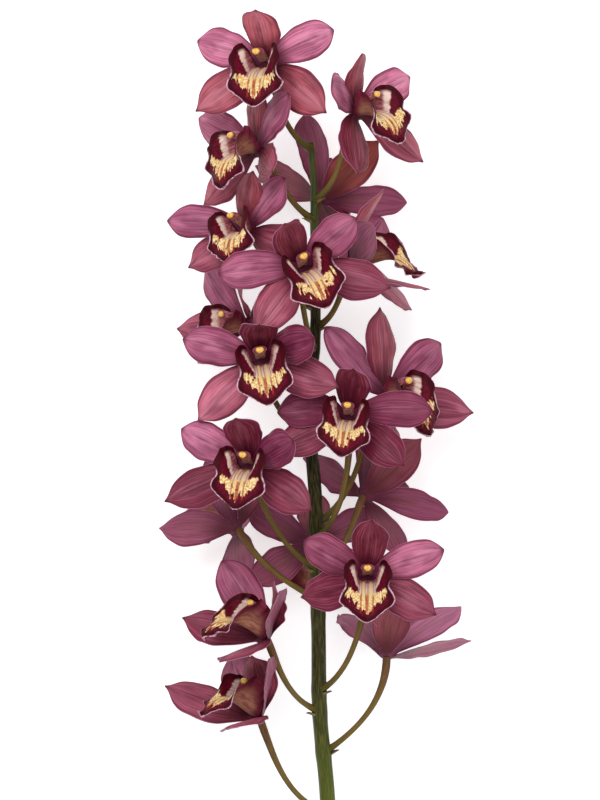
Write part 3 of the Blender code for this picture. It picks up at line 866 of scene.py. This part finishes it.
def veined_mauve():
    """Waxy mauve flesh: darker veins and rim, a claw darkened partly with painted shade, a painted
    highlight along the middle, a pale thin edge of painted light, and a duller outside.
    """
    finish = Finish("veined_mauve", 0.45, 0.18)
    across, along, is_front = finish.read("blade")
    paleness, redness, character = finish.read("tone")
    from_middle = finish.maths("ABSOLUTE", across)
    # Lengthwise veins: a regular row of lines that noise bends, and threads between them.
    drawn_out = finish.place(finish.times(across, 8.0), finish.times(along, 1.1), character)
    threads = finish.grain(drawn_out, 1.7, 3.0)
    cloud = finish.grain(finish.place(across, finish.times(along, 1.6), character), 1.5)
    bent = finish.plus(across, finish.times(cloud, 0.5))
    veins = finish.rise(finish.maths("SINE", finish.times(bent, 52.0)), 0.2, 0.95)
    rose = finish.mix(paleness, paint(118, 30, 64), paint(226, 134, 172))
    russet = finish.mix(paleness, paint(110, 26, 42), paint(218, 112, 122))
    deep = finish.mix(redness, paint(84, 16, 46), paint(72, 10, 28))
    finish.body = finish.mix(redness, rose, russet)
    finish.lay(finish.rise(cloud, 0.36, 0.64), deep, 0.42)
    finish.lay(finish.rise(threads, 0.42, 0.68), deep, 0.42)
    finish.lay(veins, deep, 0.16)
    finish.lay(finish.rise(threads, 0.5, 0.3), paint(198, 116, 148), 0.25)
    # A painted highlight runs along the middle. Darker on the midrib, the point and the rim, and on
    # the claw, partly its own colour and partly painted shade where the tepals crowd round the hub.
    painted_highlight = finish.times(finish.rise(from_middle, 0.55, 0.1), finish.rise(along, 0.15, 0.55))
    painted_highlight = finish.times(painted_highlight, finish.rise(cloud, 0.6, 0.4), finish.plus(finish.times(paleness, 0.15), 0.02))
    finish.lay(painted_highlight, paint(240, 186, 206))
    # The claw's darkness: partly its own wine colour, partly painted shade where the tepals crowd round the
    # hub.
    finish.lay(finish.rise(along, 0.38, 0.03), deep, 0.9)
    rib = finish.times(finish.rise(from_middle, 0.09, 0.02), finish.rise(along, 0.95, 0.6))
    finish.lay(rib, deep, 0.35)
    finish.lay(finish.rise(along, 0.92, 0.99), paint(84, 12, 40), 0.8)
    rim = finish.times(finish.rise(from_middle, 0.78, 0.94), 0.75)
    finish.lay(rim, paint(106, 18, 54))
    # The outside is duller, with olive along the middle and the claw.
    outside = finish.mix(paleness, paint(120, 40, 66), paint(194, 116, 148))
    outside = finish.mix(finish.rise(redness, 0.4, 1.5), outside, paint(156, 72, 60))
    outside = finish.mix(finish.rise(threads, 0.42, 0.66), outside, deep, 0.4)
    olive = finish.times(finish.rise(from_middle, 0.55, 0.0), finish.rise(along, 0.85, 0.2))
    outside = finish.mix(olive, outside, paint(120, 78, 58), 0.4)
    # Darker towards the claw outside as well: partly its own colour, partly painted shade at the back of
    # the hub.
    outside = finish.mix(finish.rise(along, 0.45, 0.05), outside, deep, 0.75)
    outside = finish.mix(rim, outside, paint(112, 22, 60), 0.7)
    finish.body = finish.mix(is_front, outside, finish.body)
    # A pale thin edge: painted light, the glow of light shining through the thin margin.
    finish.lay(finish.rise(from_middle, 0.965, 0.99), paint(212, 160, 182), 0.4)
    finish.rough(threads, 0.32, 0.3)
    finish.relief(finish.minus(finish.times(threads, 0.6), finish.times(veins, 0.4)), 0.4, 0.0007)
    return finish.coloured()


def placer(number):
    """Takes a point of the common bloom to its place in the layout."""
    centre, angles, size, _ = BLOOMS[number]
    rotation = turned(angles)

    def place(point, centre=Vector(centre)):
        return centre + rotation @ (point * size)

    return place


mauve = veined_mauve()
for number in BLOOMS:
    tepals = build_tepals("tepals_" + number, number, placer(number), mauve)
    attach(tepals, "root")
    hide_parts(f"bloom_{number}_tepals")


# The lip: one fleshy sheet, grown as a trough under the column. Two side lobes stand up beside it
# and a broad middle lobe hangs, all with a burgundy margin, and two yellow keels lie on the floor.
LIP_FLOOR = (2.0, 8.5)
LIP_FLARE = (13.0, 25.0)
LIP_ROWS = 34
LIP_HALF_COLUMNS = (0.045, 0.085, 0.125, 0.17, 0.23, 0.31, 0.41, 0.52, 0.63, 0.74, 0.84, 0.92, 0.97, 1)
LIP_ARC_STEPS = 24
LIP_THICK = 0.9
LIP_EDGE_THICK = 0.45
LIP_FRILL = 2.6
LIP_FINE_FRILL = 1.3
LIP_TATTER = 0.12
LIP_LENGTH = 49.0
LIP_BAND_END = 25.6
LIP_PATCH_TOP = 27.6
LIP_PATCH_POINT = 41.8
KEEL_APART = 2.5
KEEL_HEIGHT = 1.3
KEEL_HALF_WIDTH = 0.95
# The midline goes through points of (up the bloom, forward). The other tables have rows of
# (share of the way along it, value).
LIP_LINE = ((-2.6, 0.9), (-4.4, 8.5), (-7, 16), (-10.4, 23), (-16.5, 28.3), (-24.5, 30.2), (-32, 29.3))
LIP_HALF_WIDTHS = (
    (0, 5), (0.1, 12.5), (0.18, 20), (0.26, 24), (0.35, 25), (0.43, 25), (0.5, 22),
    (0.545, 18), (0.575, 16.6), (0.61, 18.2), (0.66, 19.6), (0.72, 18.4), (0.78, 14.6), (0.86, 10),
    (0.94, 6), (1, 1.4),
)
LIP_SIDE_ANGLES = (
    (0, 80), (0.2, 78), (0.3, 74), (0.44, 66), (0.54, 42), (0.62, 8), (0.72, -14), (1, -26),
)
LIP_FLARES = ((0, 0), (0.2, 0), (0.36, 18), (0.5, 34), (0.6, 6), (1, 0))
# Lips that are drawn in and more ragged than the rest: the share of the width, and the frill.
LIP_SHAPES = {
    "02": (0.97, 1.4), "03": (0.94, 1.7), "05": (0.85, 2.8), "06": (0.96, 1.5), "08": (0.95, 1.7),
    "10": (0.86, 2.0), "17": (0.6, 2.1), "18": (0.6, 2.3),
}


def lip_sheet(u, v):
    """The middle of the lip's sheet, its inward normal and its reach, at a share along and across."""
    step = 0.004
    line = [Vector((0, up, forward)) for up, forward in LIP_LINE]
    centre = along_line(line, u)
    along = (along_line(line, min(1, u + step)) - along_line(line, max(0, u - step))).normalized()
    inward = Vector((0, along.z, -along.y))
    reach = between(LIP_HALF_WIDTHS, u) * abs(v)
    steep = radians(between(LIP_SIDE_ANGLES, u))
    flare = radians(between(LIP_FLARES, u))
    out = up = angle = 0.0
    for i in range(LIP_ARC_STEPS):
        gone = reach * (i + 0.5) / LIP_ARC_STEPS
        angle = steep * smooth(*LIP_FLOOR, gone) - flare * smooth(*LIP_FLARE, gone)
        out += cos(angle) * reach / LIP_ARC_STEPS
        up += sin(angle) * reach / LIP_ARC_STEPS
    side = 1 if v >= 0 else -1
    point = centre + Vector((side * out, 0, 0)) + inward * up
    normal = inward * cos(angle) - Vector((side * sin(angle), 0, 0))
    return point, normal, side * reach


LIP_COLUMNS = [-v for v in reversed(LIP_HALF_COLUMNS)] + [0] + list(LIP_HALF_COLUMNS)
LIP_SHEET = [
    [(i / (LIP_ROWS - 1), v, *lip_sheet(i / (LIP_ROWS - 1), v)) for v in LIP_COLUMNS]
    for i in range(LIP_ROWS)
]


def keel(u, reach):
    """How high the two keels stand on the lip's floor."""
    apart = KEEL_APART * (1 - 0.45 * smooth(0.5, 0.9, u))
    ridge = bell(reach, apart, KEEL_HALF_WIDTH) + bell(reach, -apart, KEEL_HALF_WIDTH)
    return KEEL_HEIGHT * ridge * smooth(0.1, 0.22, u) * (1 - smooth(0.62, 0.86, u))


def build_lip(name, number, place, finish):
    """The lip's sheet with frilled margins and its keels, the same blade front and back."""
    mesh_data = bmesh.new()
    sheet = mesh_data.verts.layers.float_vector.new("sheet")
    marks = mesh_data.verts.layers.float_vector.new("marks")
    character = int(number) * 5.7
    drawn_in, ragged = LIP_SHAPES.get(number, (1, 1))
    front, back = [], []
    for row in LIP_SHEET:
        rows = ([], [])
        for u, v, point, normal, reach in row:
            near_edge = max(abs(v) ** 3, smooth(0.86, 1.0, u))
            free = smooth(0.12, 0.3, u)
            frill = waver(u * 9.5, v * 1.3 + character, character) * LIP_FRILL
            frill += waver(u * 24.0, v * 2.0, character) * LIP_FINE_FRILL
            middle = point + normal * frill * ragged * near_edge * free
            tatter = waver(u * 22.0, v + character, 3.0) * LIP_TATTER * ragged * near_edge
            middle.x *= 1 - (1 - drawn_in) * smooth(0.1, 0.4, u) + tatter
            half = (LIP_EDGE_THICK + (LIP_THICK - LIP_EDGE_THICK) * (1 - abs(v) ** 3)) / 2
            margin = min(between(LIP_HALF_WIDTHS, u) - abs(reach), (1 - u) * LIP_LENGTH)
            pair = [place(middle + normal * (half + keel(u, reach))), place(middle - normal * half)]
            lift = max(0.0, -min(pair[0].z, pair[1].z))
            for made, corner, is_front in zip(rows, pair, (1, 0)):
                vertex = mesh_data.verts.new(corner + Vector((0, 0, lift)))
                vertex[sheet] = (reach, u * LIP_LENGTH, is_front)
                vertex[marks] = (margin, keel(u, reach) / KEEL_HEIGHT, character)
                made.append(vertex)
        front.append(rows[0])
        back.append(rows[1])
    skin(mesh_data, front, back)
    return new_piece(name, mesh_data, finish, 1)


def velvet_lip():
    """Burgundy velvet with a cream throat, a toothed yellow patch and keels, and a pale rim."""
    finish = Finish("velvet_lip", 0.5, 0.08)
    reach, length, is_front = finish.read("sheet")
    margin, keels, character = finish.read("marks")
    out = finish.maths("ABSOLUTE", reach)
    drawn_out = finish.place(finish.times(reach, 0.6), finish.times(length, 0.15), character)
    streaks = finish.grain(drawn_out, 1.0, 3.0)
    on_lip = finish.place(reach, length, character)
    cells = finish.grain(on_lip, 0.8, 3.0)
    shift = finish.times(finish.minus(streaks, 0.5), 16.0)
    wine = finish.mix(finish.rise(cells, 0.35, 0.7), paint(74, 0, 20), paint(106, 8, 38))
    # The throat: a dusky back, a pale floor lined with pink, and a cream band up either wall.
    to_band = finish.minus(length, finish.minus(LIP_BAND_END, finish.times(out, 0.31)))
    to_band = finish.plus(to_band, finish.times(shift, 0.14))
    dusky = finish.mix(finish.rise(streaks, 0.4, 0.62), paint(190, 122, 130), paint(140, 70, 78))
    finish.body = finish.mix(finish.rise(to_band, -1.0, 1.0), dusky, wine)
    pale = finish.mix(finish.rise(out, 5.0, 12.0), paint(214, 186, 176), paint(230, 204, 190))
    band = finish.times(finish.rise(to_band, -6.5, -2.0), finish.rise(to_band, 1.0, -0.6))
    band = finish.times(band, finish.rise(out, 4.5, 7.5), finish.plus(finish.rise(streaks, 0.62, 0.4), 0.7))
    finish.lay(band, pale)
    stripes = finish.maths("SINE", finish.times(reach, 3.0))
    floor = finish.mix(finish.rise(stripes, 0.1, 0.9), paint(216, 184, 172), paint(150, 76, 82), 0.7)
    on_floor = finish.times(finish.rise(out, 7.5, 5.0), finish.rise(length, 7.0, 16.0))
    finish.lay(finish.times(on_floor, finish.rise(length, 31.0, 27.0)), floor)
    # All round the margin the wine is at its darkest.
    finish.lay(finish.rise(margin, 6.0, 3.0), paint(62, 0, 16))
    # The toothed patch on the middle lobe: level above, and pointed down the middle below.
    low = finish.plus(finish.minus(LIP_PATCH_POINT, finish.times(out, 0.87)), shift)
    low = finish.minus(low, length)
    high = finish.plus(finish.minus(length, LIP_PATCH_TOP), finish.times(shift, 0.3))
    patch = finish.times(finish.rise(low, -0.3, 0.5), finish.rise(high, -0.4, 0.6))
    holes = finish.plus(finish.rise(streaks, 0.36, 0.46), 0.35)
    patch = finish.times(patch, finish.rise(margin, 2.2, 3.4), holes)
    gold = finish.mix(finish.rise(cells, 0.36, 0.64), paint(238, 220, 166), paint(204, 148, 84))
    gold = finish.mix(finish.rise(finish.from_dots(on_lip, 0.2), 0.26, 0.12), gold, paint(96, 26, 28))
    finish.lay(patch, gold)
    # The keels, and the rust lines between and beside them.
    finish.lay(finish.rise(keels, 0.3, 0.65), paint(226, 196, 136))
    beside = finish.rise(finish.maths("ABSOLUTE", finish.minus(out, 4.0)), 0.8, 0.3)
    lines = finish.maths("MAXIMUM", finish.rise(out, 1.5, 0.7), finish.times(beside, 0.85))
    lines = finish.times(lines, finish.rise(length, 27.0, 31.0), finish.rise(length, 43.0, 40.0))
    finish.lay(lines, paint(158, 54, 30), 0.8)
    # The outside is olive brown in the middle, and the middle lobe has a thin, broken, pale rim.
    outside = finish.mix(finish.rise(margin, 3.0, 15.0), paint(116, 32, 56), paint(168, 118, 92))
    outside = finish.mix(finish.rise(streaks, 0.42, 0.62), outside, paint(124, 50, 66), 0.6)
    finish.body = finish.mix(is_front, outside, finish.body)
    rim = finish.times(finish.rise(margin, 1.3, 0.5), finish.rise(length, 25.0, 29.0))
    rim = finish.times(rim, finish.plus(finish.rise(cells, 0.3, 0.6), 0.3))
    finish.lay(rim, paint(220, 172, 190), 0.85)
    finish.rough(cells, 0.4, 0.3)
    finish.relief(cells, 0.6, 0.0006)
    return finish.coloured()


velvet = velvet_lip()
for number in BLOOMS:
    lip = build_lip("lip_" + number, number, placer(number), velvet)
    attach(lip, "root")
    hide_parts(f"bloom_{number}_lip")


# The column: the bloom's pollen bearer, a fleshy arch over the lip, hollowed underneath and hooded
# at its end. It is dusty rose below with dark spots, and mauve above.
COLUMN_LINE = ((1.8, 1.9), (3.4, 7), (5, 13), (5.8, 19), (5.2, 23.5))
COLUMN_HALF_WIDTHS = ((0, 3.6), (0.25, 3.7), (0.5, 4.2), (0.75, 4.9), (0.9, 4.8), (1, 3.6))
COLUMN_HALF_DEPTHS = ((0, 1.9), (0.25, 1.8), (0.5, 2.1), (0.75, 2.5), (0.9, 2.6), (1, 2.0))
COLUMN_HOLLOW = 0.75
COLUMN_STEPS = 16
COLUMN_SIDES = 18


def build_column(name, place, finish):
    """A flattened arch, hollow underneath, broadest just before its end."""
    mesh_data = bmesh.new()
    around = mesh_data.verts.layers.float_vector.new("around")
    line = [Vector((0, up, forward)) for up, forward in COLUMN_LINE]
    rings = []
    for i in range(COLUMN_STEPS + 1):
        share = i / COLUMN_STEPS
        before, after = along_line(line, share - 0.03), along_line(line, share + 0.03)
        along = (after - before).normalized()
        up = Vector((0, along.z, -along.y))
        ring = []
        for k in range(COLUMN_SIDES):
            turn = tau * k / COLUMN_SIDES
            height = sin(turn) * between(COLUMN_HALF_DEPTHS, share)
            if height < 0:
                height *= 1 - COLUMN_HOLLOW * cos(turn + pi / 2) ** 6
            offset = Vector((cos(turn) * between(COLUMN_HALF_WIDTHS, share), 0, 0)) + up * height
            vertex = mesh_data.verts.new(place(along_line(line, share) + offset))
            vertex[around] = (cos(turn), sin(turn), share)
            ring.append(vertex)
        rings.append(ring)
    tube(mesh_data, rings)
    return new_piece(name, mesh_data, finish, 1)


def spotted_cream():
    """Mauve above, dusty rose underneath with dark purple spots, and a dark hood round the cap."""
    finish = Finish("spotted_cream", 0.38)
    side, up, along = finish.read("around")
    place = finish.place(side, up, finish.times(along, 6.0))
    spots = finish.from_dots(place, 1.7)
    blush = finish.grain(place, 1.2, 3.0)
    under = finish.mix(finish.rise(along, 0.3, 0.8), paint(212, 168, 150), paint(196, 124, 120))
    under = finish.mix(finish.rise(spots, 0.36, 0.2), under, paint(84, 22, 46))
    above = finish.mix(finish.rise(blush, 0.35, 0.65), paint(172, 96, 118), paint(124, 44, 66))
    finish.body = finish.mix(finish.rise(up, -0.35, 0.1), under, above)
    finish.lay(finish.rise(along, 0.9, 0.98), paint(110, 34, 52))
    finish.relief(blush, 0.4, 0.0004)
    return finish.coloured()


cream = spotted_cream()
for number in BLOOMS:
    column = build_column("column_" + number, placer(number), cream)
    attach(column, "root")
    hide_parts(f"bloom_{number}_column")


# The anther cap: a small loose lid of yellow tissue that closes the end of the column over the
# pollen, two-lobed, with a short beak. It sits in the column's hood.
CAP_CENTRE = Vector((0, 5.4, 23.8))
CAP_HALF = (2.8, 2.1, 1.7)
CAP_GROOVE = 0.22
CAP_BEAK = 0.5
CAP_RINGS = 9
CAP_SIDES = 16


def waxy_yellow():
    """Smooth waxy yellow, deeper in the groove."""
    finish = Finish("waxy_yellow", 0.3)
    side, up, front = finish.read("cap")
    blush = finish.grain(finish.place(side, up, front), 2.5)
    finish.body = finish.mix(finish.rise(blush, 0.35, 0.7), paint(240, 200, 96), paint(220, 162, 58))
    groove = finish.rise(finish.maths("ABSOLUTE", side), 0.16, 0.0)
    finish.lay(groove, paint(186, 122, 44), 0.6)
    finish.relief(blush, 0.3, 0.0003)
    return finish.coloured()


yellow = waxy_yellow()
for number in BLOOMS:
    place = placer(number)
    cap_mesh = bmesh.new()
    cap = cap_mesh.verts.layers.float_vector.new("cap")
    rings = []
    for i in range(1, CAP_RINGS):
        tilt = pi * i / CAP_RINGS
        ring = []
        for k in range(CAP_SIDES):
            turn = tau * k / CAP_SIDES
            way = Vector((sin(tilt) * cos(turn), sin(tilt) * sin(turn), -cos(tilt)))
            swell = 1 - CAP_GROOVE * bell(way.x, 0, 0.22) * smooth(-0.2, 0.6, way.z)
            beak = CAP_BEAK * bell(way.x, 0, 0.3) * smooth(0.3, 0.9, -way.y)
            offset = Vector([half * part * swell for half, part in zip(CAP_HALF, way)])
            vertex = cap_mesh.verts.new(place(CAP_CENTRE + offset + Vector((0, -beak, beak))))
            vertex[cap] = way
            ring.append(vertex)
        rings.append(ring)
    tube(cap_mesh, rings)
    anther_cap = new_piece("anther_cap_" + number, cap_mesh, yellow, 1)
    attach(anther_cap, "root")
